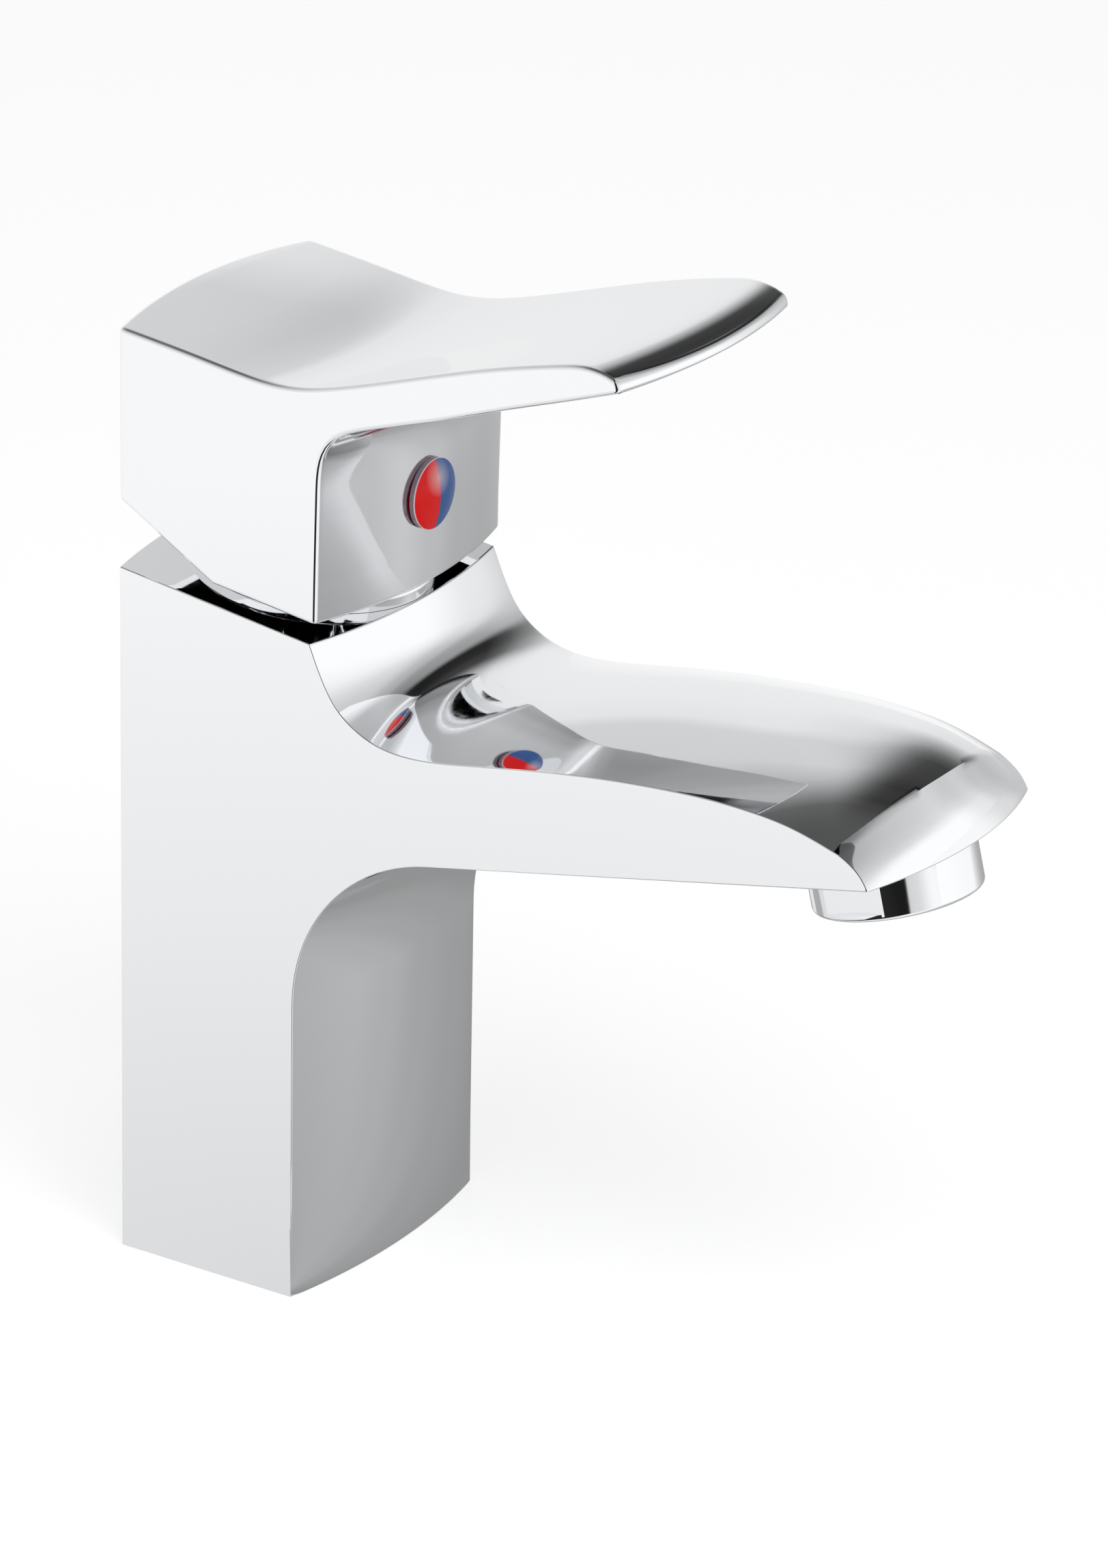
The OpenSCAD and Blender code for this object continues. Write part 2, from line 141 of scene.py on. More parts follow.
def splinePoints(points, spacing, pace=None):
    # natural cubic spline through the points, sampled about every `spacing` mm;
    # a second line can be sampled at the pace of the first
    pts = np.array(points, float)
    lengths = np.linalg.norm(np.diff(np.array(pace or points, float), axis=0), axis=1)
    t = np.concatenate([[0], np.cumsum(lengths)])
    count = len(pts)
    system = np.zeros((count, count))
    right = np.zeros((count, 2))
    system[0, 0] = system[-1, -1] = 1
    for i in range(1, count - 1):
        h0, h1 = t[i] - t[i - 1], t[i + 1] - t[i]
        system[i, i - 1:i + 2] = h0, 2 * (h0 + h1), h1
        right[i] = 6 * ((pts[i + 1] - pts[i]) / h1 - (pts[i] - pts[i - 1]) / h0)
    bend = np.linalg.solve(system, right)
    out = []
    for i in range(count - 1):
        h = t[i + 1] - t[i]
        steps = max(1, round(h / spacing))
        for k in range(steps):
            s = k / steps * h
            a, b = (h - s) / h, s / h
            point = a * pts[i] + b * pts[i + 1] + h * h / 6 * ((a ** 3 - a) * bend[i]
                                                               + (b ** 3 - b) * bend[i + 1])
            out.append((float(point[0]), float(point[1])))
    out.append((float(pts[-1][0]), float(pts[-1][1])))
    return out


def loftRows(rows, columns):
    # each row is (half width, y at the sides, y in the middle, z at the sides, z in the middle,
    # and how late the height falls towards the sides); the rows go once round the side outline,
    # and the two flat sides are filled
    deselectAll()
    bpy.ops.mesh.primitive_grid_add(x_subdivisions=columns, y_subdivisions=len(rows), size=1)
    piece = bpy.context.object
    for vertex in piece.data.vertices:
        column = round((vertex.co.x + 0.5) * columns)
        row = round((vertex.co.y + 0.5) * len(rows)) % len(rows)
        half, ySide, yMid, zSide, zMid = rows[row][:5]
        t = 2 * column / columns - 1
        t *= 1.15 - 0.15 * t * t
        sag = ySide - yMid
        part = t * t
        if abs(sag) > 1e-3:
            radius = (half * half + sag * sag) / (2 * abs(sag))
            part = (radius - math.sqrt(radius * radius - (half * t) ** 2)) / abs(sag)
        fall = abs(t) ** rows[row][5] if len(rows[row]) > 5 else part
        vertex.co = (half * t * mm, (yMid + sag * part) * mm, (zMid + (zSide - zMid) * fall) * mm)
    bpy.ops.object.mode_set(mode="EDIT")
    bpy.ops.mesh.select_all(action="SELECT")
    bpy.ops.mesh.remove_doubles(threshold=1e-6)
    for side in (-1, 1):
        selectEdges(piece, lambda edge: edge.is_boundary and edge.verts[0].co.x * side > 0)
        bpy.ops.mesh.edge_face_add()
    bpy.ops.mesh.select_all(action="SELECT")
    bpy.ops.mesh.normals_make_consistent(inside=False)
    bpy.ops.object.mode_set(mode="OBJECT")
    return piece


def selectEdges(piece, test):
    bpy.ops.mesh.select_mode(type="EDGE")
    bpy.ops.mesh.select_all(action="DESELECT")
    mesh = bmesh.from_edit_mesh(piece.data)
    for edge in mesh.edges:
        edge.select_set(test(edge))
    bmesh.update_edit_mesh(piece.data)


def bevelEdges(piece, width, segments, test=lambda edge: True, sharp=28):
    makeActive(piece)
    bpy.ops.object.mode_set(mode="EDIT")
    limit = math.radians(sharp)
    selectEdges(piece, lambda edge: edge.is_manifold and edge.calc_face_angle(0) > limit
                and test(edge))
    bpy.ops.mesh.bevel(offset=width * mm, segments=segments, profile=0.5, clamp_overlap=True)
    bpy.ops.object.mode_set(mode="OBJECT")


def splitSides(piece, cuts):
    # cuts across the long flat sides, so that their gentle taper is shaded smoothly
    makeActive(piece)
    for y in cuts:
        bpy.ops.object.mode_set(mode="EDIT")
        bpy.ops.mesh.select_mode(type="FACE")
        bpy.ops.mesh.select_all(action="DESELECT")
        mesh = bmesh.from_edit_mesh(piece.data)
        for face in mesh.faces:
            face.select_set(abs(face.normal.x) > 0.99 and len(face.verts) > 4)
        bmesh.update_edit_mesh(piece.data)
        bpy.ops.mesh.bisect(plane_co=(0, y * mm, 0), plane_no=(0, 1, 0))
        bpy.ops.object.mode_set(mode="OBJECT")


# the camera and the studio

camera = {"place": (-0.931366, -0.641338, 0.553726), "yaw": 57.483, "pitch": 22.903, "roll": 1.100,
          "lens": 178.25}
yaw, pitch, roll = (math.radians(camera[key]) for key in ("yaw", "pitch", "roll"))
look = Vector((math.sin(yaw) * math.cos(pitch), math.cos(yaw) * math.cos(pitch), -math.sin(pitch)))
right = Vector((math.cos(yaw), -math.sin(yaw), 0))
up = right.cross(look)
right, up = (math.cos(roll) * right + math.sin(roll) * up,
             math.cos(roll) * up - math.sin(roll) * right)
cameraData = bpy.data.cameras.new("camera")
cameraData.lens = camera["lens"]
cameraData.sensor_width = 36
cameraData.clip_end = 20
cameraPiece = bpy.data.objects.new("camera", cameraData)
bpy.context.scene.collection.objects.link(cameraPiece)
turned = Matrix((right, up, -look)).transposed().to_4x4()
cameraPiece.matrix_world = Matrix.Translation(camera["place"]) @ turned
bpy.context.scene.camera = cameraPiece
bpy.context.scene.view_settings.view_transform = "Standard"


def newMaterial(name):
    material = bpy.data.materials.new(name)
    material.use_nodes = True
    tree = material.node_tree
    shader = next(n for n in tree.nodes if n.type == "BSDF_PRINCIPLED")
    return material, tree, shader


def addNode(tree, kind, **settings):
    node = tree.nodes.new(kind)
    for key, value in settings.items():
        if key in node.inputs.keys():
            node.inputs[key].default_value = value
        else:
            setattr(node, key, value)
    return node


def noiseOf(tree, scale, detail=3, stretch=(1, 1, 1)):
    place = addNode(tree, "ShaderNodeTexCoord")
    mapping = addNode(tree, "ShaderNodeMapping")
    mapping.inputs["Scale"].default_value = stretch
    noise = addNode(tree, "ShaderNodeTexNoise", Scale=scale, Detail=detail)
    tree.links.new(place.outputs["Object"], mapping.inputs["Vector"])
    tree.links.new(mapping.outputs["Vector"], noise.inputs["Vector"])
    return noise


def rangeOf(tree, source, low, high, fromLow=0.35, fromHigh=0.65):
    span = addNode(tree, "ShaderNodeMapRange")
    ends = {"From Min": fromLow, "From Max": fromHigh, "To Min": low, "To Max": high}
    for key, value in ends.items():
        span.inputs[key].default_value = value
    tree.links.new(source, span.inputs["Value"])
    return span.outputs["Result"]


def invertOf(tree, source):
    invert = addNode(tree, "ShaderNodeInvert")
    tree.links.new(source, invert.inputs["Color"])
    return invert.outputs["Color"]


def mixOf(tree, kind, first, second, amount=None):
    mix = addNode(tree, "ShaderNodeMix", data_type="RGBA", blend_type=kind)
    sockets = [i for i in mix.inputs if i.type == "RGBA"]
    tree.links.new(first, sockets[0])
    tree.links.new(second, sockets[1])
    if amount is None:
        mix.inputs[0].default_value = 1
    else:
        tree.links.new(amount, mix.inputs[0])
    return next(o for o in mix.outputs if o.type == "RGBA")


def bumpOf(tree, shader, source, distance, strength=1.0):
    bump = addNode(tree, "ShaderNodeBump", Strength=strength, Distance=distance)
    tree.links.new(source, bump.inputs["Height"])
    tree.links.new(bump.outputs["Normal"], shader.inputs["Normal"])
    return bump


def metalMaterial(name, colour, rough, waviness, grainScale=900, stretch=(1, 1, 1)):
    # polished or plated metal: slow waves from the casting under the finish, fine haze in it
    material, tree, shader = newMaterial(name)
    shader.inputs["Metallic"].default_value = 1
    shader.inputs["Base Color"].default_value = (*colour, 1)
    haze = noiseOf(tree, grainScale, 4, stretch)
    tree.links.new(rangeOf(tree, haze.outputs["Fac"], rough[0], rough[1]),
                   shader.inputs["Roughness"])
    waves = noiseOf(tree, 45, 2)
    bumpOf(tree, shader, waves.outputs["Fac"], waviness)
    return material


def mouldedMaterial(name, colour, rough, grain, subsurface=0):
    material, tree, shader = newMaterial(name)
    tone = noiseOf(tree, 220, 4)
    ramp = addNode(tree, "ShaderNodeValToRGB")
    ramp.color_ramp.elements[0].color = (*[c * 0.93 for c in colour], 1)
    ramp.color_ramp.elements[1].color = (*colour, 1)
    tree.links.new(tone.outputs["Fac"], ramp.inputs["Fac"])
    tree.links.new(ramp.outputs["Color"], shader.inputs["Base Color"])
    grainNoise = noiseOf(tree, 2600, 3)
    tree.links.new(rangeOf(tree, grainNoise.outputs["Fac"], rough[0], rough[1]),
                   shader.inputs["Roughness"])
    bumpOf(tree, shader, grainNoise.outputs["Fac"], grain)
    shader.inputs["Subsurface Weight"].default_value = subsurface
    shader.inputs["Subsurface Scale"].default_value = 0.001
    return material


# the pale line along the dome's edge and the soft bright spot on the dome are painted highlights;
# red and blue are the print under the dome
index = {
    "red": (0.87, 0.012, 0.012, 1), "blue": (0.045, 0.125, 0.36, 1), "wall": (0.34, 0.26, 0.31, 1),
    "rim": (0.88, 0.78, 0.84, 1), "rimFrom": -0.02472, "domeFrom": -0.0249, "blend": 0.00003,
    "paintedLight": (0.95, 0.8, 0.8, 1), "paintedHighlightAt": (0, -0.0257, 0.1329), "paintedHighlightReach": 0.0032,
}


def lensMaterial():
    # the dome magnifies the print beneath and is filled with its two colours; the wall is clear; a
    # soft bright spot on the dome and a pale line along its edge are painted highlights
    material, tree, shader = newMaterial("clearAcrylic")
    shader.inputs["IOR"].default_value = 1.49
    shader.inputs["Specular IOR Level"].default_value = 0.15
    haze = noiseOf(tree, 700, 3)
    tree.links.new(rangeOf(tree, haze.outputs["Fac"], 0.012, 0.03), shader.inputs["Roughness"])
    place = addNode(tree, "ShaderNodeTexCoord")
    split = addNode(tree, "ShaderNodeSeparateXYZ")
    tree.links.new(place.outputs["Object"], split.inputs["Vector"])

    def stepAt(axis, place, flip=1):
        reach = index["blend"] * flip
        return rangeOf(tree, split.outputs[axis], 0, 1, place - reach, place + reach)

    def colourOf(key):
        plain = addNode(tree, "ShaderNodeRGB")
        plain.outputs["Color"].default_value = index[key]
        return plain.outputs["Color"]

    dome, rim = stepAt("Y", index["domeFrom"], -1), stepAt("Y", index["rimFrom"], -1)
    # painted highlight: a soft bright spot on the dome, fading out round a point above its middle
    away = addNode(tree, "ShaderNodeVectorMath", operation="DISTANCE")
    tree.links.new(place.outputs["Object"], away.inputs[0])
    away.inputs[1].default_value = index["paintedHighlightAt"]
    near = rangeOf(tree, away.outputs["Value"], 0.5, 0, 0, index["paintedHighlightReach"])
    face = mixOf(tree, "MIX", colourOf("red"), colourOf("blue"), stepAt("X", 0))
    face = mixOf(tree, "MIX", face, colourOf("paintedLight"), near)
    # painted highlight: a pale line round the dome's edge, between the wall and the dome
    side = mixOf(tree, "MIX", colourOf("wall"), colourOf("rim"), rim)
    tree.links.new(mixOf(tree, "MIX", side, face, dome), shader.inputs["Base Color"])
    tree.links.new(rangeOf(tree, rim, 0.12, 0.02, 0, 1), shader.inputs["Transmission Weight"])
    return material


finish = {"chrome": (0.93, 0.94, 0.955), "brass": (0.62, 0.44, 0.19), "steel": (0.62, 0.61, 0.6)}
chromeBody = metalMaterial("chromeBody", finish["chrome"], (0.025, 0.05), 0.000012)
chromeHandle = metalMaterial("chromeHandle", finish["chrome"], (0.025, 0.055), 0.000012,
                             700, (1, 1, 0.12))
chromeRing = metalMaterial("chromeRing", finish["chrome"], (0.03, 0.07), 0.000006)
chromeAerator = metalMaterial("chromeAerator", finish["chrome"], (0.02, 0.05), 0.000004)
brass = metalMaterial("turnedBrass", finish["brass"], (0.22, 0.4), 0.000005, 1500)
steel = metalMaterial("stainlessSteel", finish["steel"], (0.2, 0.35), 0.000003, 1800)
blackRubber = mouldedMaterial("blackRubber", (0.012, 0.012, 0.013), (0.5, 0.65), 0.00002)
whitePlastic = mouldedMaterial("whitePlastic", (0.78, 0.78, 0.76), (0.32, 0.42), 0.000006, 0.1)
greyPlastic = mouldedMaterial("greyPlastic", (0.34, 0.35, 0.36), (0.35, 0.48), 0.000008)
darkPlastic = mouldedMaterial("darkPlastic", (0.03, 0.03, 0.033), (0.35, 0.5), 0.000008)
ceramic = mouldedMaterial("ceramic", (0.8, 0.78, 0.72), (0.12, 0.2), 0.000001, 0.05)
redPrint = mouldedMaterial("redPrint", (0.72, 0.012, 0.008), (0.3, 0.38), 0.000003)
bluePrint = mouldedMaterial("bluePrint", (0.04, 0.12, 0.36), (0.3, 0.38), 0.000003)
clearAcrylic = lensMaterial()
print("materials done")

plainFinishes = {
    "base_gasket": blackRubber, "cartridge_base": whitePlastic, "port_seals": blackRubber,
    "fixed_disc": ceramic, "cartridge_housing": greyPlastic, "thrust_washer": whitePlastic,
    "aerator_washer": blackRubber, "aerator_insert": whitePlastic, "aerator_screens": steel,
    "aerator_nozzle": greyPlastic, "sleeve": whitePlastic, "sleeve_oring": blackRubber,
    "pivot_pin": steel, "disc_carrier": darkPlastic, "moving_disc": ceramic, "spindle": brass,
    "grub_screw": steel, "button_plug": whitePlastic, "button_hot": redPrint,
    "button_cold": bluePrint,
}
for name, material in plainFinishes.items():
    nodes[name].data.materials.clear()
    nodes[name].data.materials.append(material)


# the cartridge's and the aerator's own frames

slope = math.radians(7.5)
topZ, axisShift = 114.6, 2.4


def topAt(y):
    return topZ + math.tan(slope) * y


axisPlace = Matrix.Translation((0, -axisShift * mm, topAt(-axisShift) * mm))
onAxis = axisPlace @ Matrix.Rotation(slope, 4, "X")
aerator = {"y": -109.6, "z": 84.2, "tilt": -14}
aeratorPlace = Matrix.Translation((0, aerator["y"] * mm, aerator["z"] * mm))
onAerator = aeratorPlace @ Matrix.Rotation(math.radians(aerator["tilt"]), 4, "X")

body = {
    "half": 25.7, "tipHalf": 23.9, "reach": 117.9, "frontY": -16.4, "rearY": 16.4, "rearBulge": 2.9,
    "arcY": 100, "noseY": -55.2, "underSlope": 10.9, "fillet": 30, "edge": 0.9, "columns": 30,
    # from the collar's top edge to the crease across the nose: [at the sides], [in the middle]
    "topSide": [(-19.2, 112.07), (-22.0, 105.9), (-24.2, 102.6), (-27.2, 100.1), (-31.5, 98.2),
                (-37.3, 97.55), (-48.7, 98.9), (-58.6, 100.55), (-71.9, 102.3), (-83.6, 103.2),
                (-90.5, 103.4), (-97.3, 103.15), (-104.1, 102.3), (-112.6, 99.84)],
    "topMid": [(-22.0, 111.7), (-24.0, 107.0), (-25.8, 104.3), (-28.5, 102.5), (-32.3, 101.5),
               (-37.6, 101.4), (-48.9, 103.0), (-58.8, 104.75), (-72.2, 106.4), (-84.2, 107.2),
               (-91.5, 107.45), (-99.0, 107.4), (-107.2, 106.95), (-116.3, 105.25)],
    "noseSide": [(-112.6, 99.84), (-114.6, 98.75), (-116.7, 97.0), (-117.9, 95.2)],
    "noseMid": [(-116.3, 105.25), (-118.9, 102.5), (-121.2, 99.3), (-122.3, 95.85)],
    "rollFrom": -76, "rollTo": -102, "rollPower": 2.4,
    # the spout narrows by this power; its plan arc goes over into the nose's along noseBlend
    "taper": 1.2, "noseBlend": (-84, 22), "underZ": 75.6, "footEdge": 0.35,
    "sideCuts": (-13, -18, -24, -32, -42, -55, -70, -85, -100),
}


def easeOver(y, span):
    # 0 to 1 from span[0] on, over span[1] mm towards the front
    weight = min(max((span[0] - y) / span[1], 0), 1)
    return weight * weight * (3 - 2 * weight)


def bodyHalf(y):
    if y > body["frontY"]:
        return body["half"]
    part = (body["frontY"] - y) / (body["reach"] + body["frontY"])
    return body["half"] - (body["half"] - body["tipHalf"]) * part ** body["taper"]


def bodyRow(y, z, rise=0.0):
    half = bodyHalf(y)
    arcRadius = math.hypot(body["arcY"] - y, half)
    weight = easeOver(y, body["noseBlend"])
    fromArc = body["arcY"] - arcRadius
    fromNose = body["noseY"] - math.hypot(body["noseY"] - y, half)
    yMid = fromArc + (fromNose - fromArc) * weight
    return half, y, yMid, z, z + (fromArc - yMid) * rise


def pairedRows(side, mid, spacing):
    # rows between two outlines whose points correspond
    rows = []
    sideLine, midLine = (splinePoints(line, spacing, side) for line in (side, mid))
    for (ySide, zSide), (yMid, zMid) in zip(sideLine, midLine):
        roll = min(max((body["rollFrom"] - ySide) / (body["rollFrom"] - body["rollTo"]), 0), 1)
        rows.append((bodyHalf(ySide), ySide, yMid, zSide, zMid, 2 + (body["rollPower"] - 2) * roll))
    return rows


def makeBody():
    rise = math.tan(math.radians(body["underSlope"]))
    corner = (body["frontY"], body["underZ"])
    reach = body["fillet"] * math.tan(math.radians(90 - body["underSlope"]) / 2)
    centre = (corner[0] - body["fillet"], corner[1] - reach)
    front = [(body["frontY"], z) for z in (0, 12, 25, 38)]
    fillet = arcPoints(centre, body["fillet"], 0, 90 - body["underSlope"], 22)
    under = [(y, corner[1] - (y - corner[0]) * rise)
             for y in np.linspace(fillet[-1][0], -body["reach"], 26)]
    rows = [bodyRow(y, z) for y, z in front + fillet]
    rows += [bodyRow(y, z, rise) for y, z in under[1:]]
    rows += pairedRows(body["noseSide"], body["noseMid"], 0.9)[::-1][1:]
    rows += pairedRows(body["topSide"], body["topMid"], 1.1)[::-1][1:]
    half = body["half"]
    rearMid = body["rearY"] + body["rearBulge"]
    rows.append((half, body["rearY"], rearMid, topAt(body["rearY"]), topAt(rearMid)))
    rows += [(half, body["rearY"], rearMid, z, z) for z in (90, 60, 30, 0)]
    return loftRows(rows, body["columns"])


def planPrism(inset, low, high):
    # an upright prism on the foot's outline
    half = body["half"] - inset
    arcRadius = math.hypot(body["arcY"] - body["frontY"], body["half"]) - inset
    rearRadius = (body["half"] ** 2 + body["rearBulge"] ** 2) / (2 * body["rearBulge"]) - inset
    rearCentre = body["rearY"] + body["rearBulge"] - rearRadius - inset
    frontSide = body["arcY"] - math.sqrt(arcRadius ** 2 - half ** 2)
    rearSide = rearCentre + math.sqrt(rearRadius ** 2 - half ** 2)
    front = (half, frontSide, body["arcY"] - arcRadius)
    rear = (half, rearSide, rearCentre + rearRadius)
    return loftRows([(*front, low, low), (*rear, low, low),
                     (*rear, high, high), (*front, high, high)], 24)


base = {"inletX": 14.5, "inletRadius": 5, "studRadius": 4, "coreDepth": 34, "wall": 4.2,
        "threadDepth": 16, "inletBoss": 7.5, "studBoss": 6.5, "web": 2.5, "grooveFrom": 1,
        "grooveTo": 3.2}
# the cartridge's chamber, and the drilled ways into it and out of it
chamber = {"radius": 17.5, "depth": 24, "nutRadius": 18.46, "nutSeat": -4.3,
           "inAt": (5.2, 4), "inRadius": 2.8,
           "outY": -6.2, "outRadius": 3.8, "outEnd": (0, -106.6, 97.3)}
# what the spout has over the aerator: (radius, low, high) on its axis
spoutEnd = {"collar": (12.9, 8.35, 10.5), "spigot": (11, 2.6, 11), "well": (8.4, 0, 11.6)}


def footCore():
    core = planPrism(base["wall"], -1, base["coreDepth"])
    for x, radius in ((-base["inletX"], base["inletBoss"]), (0, base["studBoss"]),
                      (base["inletX"], base["inletBoss"])):
        combine(core, cylinderAt(radius, -3, base["coreDepth"] + 2, x=x))
    combine(core, boxAt((-30, -base["web"], -3), (30, base["web"], base["coreDepth"] + 2)))
    return core


def gasketGroove():
    groove = planPrism(base["grooveFrom"], -1, 2)
    combine(groove, planPrism(base["grooveTo"], -2, 3))
    return groove


def drillAt(start, end, radius):
    way = Vector(end) - Vector(start)
    turn = way.to_track_quat("Z", "Y").to_matrix().to_4x4()
    place = Matrix.Translation(Vector(start) * mm) @ turn
    return cylinderAt(radius, 0, way.length, place, sides=48)


def axisPoint(x, y, h):
    return onAxis @ Vector((x * mm, y * mm, h * mm)) / mm


def onCrease(edge):
    # the line across the nose stays crisp
    return all(v.co.y < -108 * mm and v.co.z > 97 * mm and abs(v.co.x) < 23.4 * mm
               for v in edge.verts)


def dressBody():
    shell = makeBody()
    splitSides(shell, body["sideCuts"])
    bevelEdges(shell, body["edge"], 4, lambda edge: min(v.co.z for v in edge.verts) > 1 * mm
               and not onCrease(edge))
    bevelEdges(shell, body["footEdge"], 2,
               lambda edge: max(v.co.z for v in edge.verts) < 0.1 * mm, 60)
    combine(shell, cylinderAt(*spoutEnd["collar"], onAerator), "UNION")
    combine(shell, cylinderAt(*spoutEnd["spigot"], onAerator), "UNION")
    combine(shell, footCore())
    combine(shell, gasketGroove())
    floorAt = -chamber["depth"]
    combine(shell, cylinderAt(chamber["radius"], floorAt, 8, onAxis))
    combine(shell, cylinderAt(chamber["nutRadius"], chamber["nutSeat"], 8, onAxis))
    combine(shell, cylinderAt(*spoutEnd["well"], onAerator))
    combine(shell, cylinderAt(base["studRadius"], -1, base["threadDepth"] + 4))
    for side in (-1, 1):
        inletX = side * base["inletX"]
        combine(shell, cylinderAt(base["inletRadius"], -1, base["threadDepth"], x=inletX))
        portX, portY = side * chamber["inAt"][0], chamber["inAt"][1]
        combine(shell, drillAt((inletX, 0, base["threadDepth"] - 1),
                               axisPoint(portX, portY, floorAt + 1), chamber["inRadius"]))
    combine(shell, cylinderAt(chamber["outRadius"], floorAt - 4, floorAt + 1, onAxis,
                              0, chamber["outY"], 48))
    combine(shell, drillAt(axisPoint(0, chamber["outY"] + 1, floorAt - 2.4),
                           chamber["outEnd"], chamber["outRadius"]))
    smoothFaces(shell)
    finishPiece(shell, "bodyCasting", chromeBody, "fixed", "body")


dressBody()
print("body done")


lever = {
    "half": 25.7, "tipHalf": 24.1, "reach": 74, "frontY": -16.4, "arcY": 70, "tipArcY": 21.3,
    "rearY": 16.4, "rearBulge": 2.9, "edge": 1.1, "columns": 26, "reliefY": -1, "reliefSlope": 30,
    "rimZ": 117.9, "taper": 1.2, "tipBlend": (-58, 14), "skirtY": -20.08, "rearFrom": 9,
    "rearRowZ": 142, "hollowSag": 2.2,
    "sideCuts": (-14, -19, -25, -34, -46, -60), "wall": 3,
    "front": [(-20.12, 121), (-20.28, 130), (-20.4, 136), (-20.55, 139.6), (-21.3, 143.1),
              (-22.7, 145.4), (-24.8, 147.0), (-28, 148.35), (-39.5, 152.1), (-54.1, 157.2),
              (-63.7, 160.4), (-73.05, 163.6)],
    "top": [(-72.3, 165.5), (-70.6, 166.15), (-68.6, 166.55), (-66.4, 166.65), (-63.6, 166.25),
            (-60.2, 165.5), (-55.6, 164.4), (-47.5, 162.15), (-39.4, 159.6), (-31.2, 156.95),
            (-22.9, 154.45), (-17.1, 153.15), (-12.1, 152.75), (-6.2, 153.15), (2.3, 154.25),
            (14, 155.65), (30, 157.3)],
    # the hollow under the lever, and the hub and the screw's bores in it
    "hollow": [(-17.8, 100), (-17.8, 139.3), (-14.75, 146.3), (-8, 148.5), (8, 150)],
    "hub": (8.5, 6.5, 60), "screwHub": 5.6, "socket": (4.05, 3.55, 18.3),
    "screwBores": [(2.52, -6), (3.2, -14), (4.5, -18)],
}


def leverHalf(y):
    if y > lever["frontY"]:
        return lever["half"]
    part = (lever["frontY"] - y) / (lever["reach"] + lever["frontY"])
    return lever["half"] - (lever["half"] - lever["tipHalf"]) * part ** lever["taper"]


def leverMid(y):
    half = leverHalf(y)
    weight = easeOver(y, lever["tipBlend"])
    fromArc = lever["arcY"] - math.hypot(lever["arcY"] - y, half)
    fromTip = lever["tipArcY"] - math.hypot(lever["tipArcY"] - y, half)
    return fromArc + (fromTip - fromArc) * weight


def heightOn(line, y, half):
    # height of a spun outline at any place: the outline is read at the same distance from its axis
    reach = math.hypot(lever["arcY"] - y, half)
    far = [math.hypot(lever["arcY"] - p[0], leverHalf(p[0])) for p in line]
    order = np.argsort(far)
    return float(np.interp(reach, np.array(far)[order], np.array([p[1] for p in line])[order]))


def makeLever():
    front = splinePoints(lever["front"], 1.1)
    top = splinePoints(lever["top"], 1.2)
    tilt = math.tan(slope)
    half = lever["half"]
    frontSide, rearFrom = lever["skirtY"], lever["rearFrom"]
    rows = [(half, frontSide, leverMid(frontSide), lever["rimZ"] + tilt * frontSide,
             lever["rimZ"] + tilt * leverMid(frontSide))]
    for y, z in front:
        mid = leverMid(y)
        rise = heightOn(front, mid, 0) - heightOn(front, y, leverHalf(y)) if y < -30 else 0
        rows.append((leverHalf(y), y, mid, z, z + rise))
    rearMid = lever["rearY"] + lever["rearBulge"]
    for y, z in top:
        if y < rearFrom:
            mid = leverMid(y)
            rise = heightOn(top, mid, 0) - z if y < -30 else 0
            rows.append((leverHalf(y), y, mid, z, z + rise))
    for k in range(1, 6):
        ySide = rearFrom + (lever["rearY"] - rearFrom) * k / 5
        yMid = leverMid(rearFrom) + (rearMid - leverMid(rearFrom)) * k / 5
        rows.append((half, ySide, yMid, heightOn(top, ySide, half), heightOn(top, yMid, 0)))
    relief = lever["rimZ"] + tilt * lever["reliefY"]
    steep = math.tan(math.radians(lever["reliefSlope"]))
    rows.append((half, lever["rearY"], rearMid, lever["rearRowZ"], lever["rearRowZ"]))
    rows.append((half, lever["rearY"], rearMid,
                 relief + steep * (lever["rearY"] - lever["reliefY"]),
                 relief + steep * (rearMid - lever["reliefY"])))
    rows.append((half, lever["reliefY"], lever["reliefY"], relief, relief))
    return loftRows(rows, lever["columns"])


def leverHollow():
    half = lever["half"] - lever["wall"]
    rear = lever["rearY"] + lever["rearBulge"] - lever["wall"]
    rows = []
    for y, z in lever["hollow"]:
        rows.append((half, y, lever["arcY"] - math.hypot(lever["arcY"] - y, half), z, z))
    rows += [(half, rear - lever["hollowSag"], rear, z, z) for z in (150, 100)]
    hollow = loftRows(rows, 20)
    combine(hollow, cylinderAt(*lever["hub"], onAxis))
    behind = onFace @ Matrix.Translation((0, 0, -0.024))
    combine(hollow, cylinderAt(lever["screwHub"], 0, 40, behind, sides=64))
    return hollow


faceY, buttonZ = -23.952, 130
facePlace = Matrix.Translation((0, faceY * mm, buttonZ * mm))
onFace = facePlace @ Matrix.Rotation(math.pi / 2, 4, "X")


def dressLever():
    shell = makeLever()
    splitSides(shell, lever["sideCuts"])
    bevelEdges(shell, lever["edge"], 4)
    combine(shell, leverHollow())
    halfX, halfY, top = lever["socket"]
    combine(shell, boxAt((-halfX, -halfY, 0), (halfX, halfY, top), onAxis))
    for radius, start in lever["screwBores"]:
        place = onFace @ Matrix.Translation((0, 0, (faceY - start) * mm))
        combine(shell, cylinderAt(radius, 0, 40, place, sides=64))
    smoothFaces(shell)
    finishPiece(shell, "leverHandle", chromeHandle, "lever", "handle")


dressLever()
print("lever done")

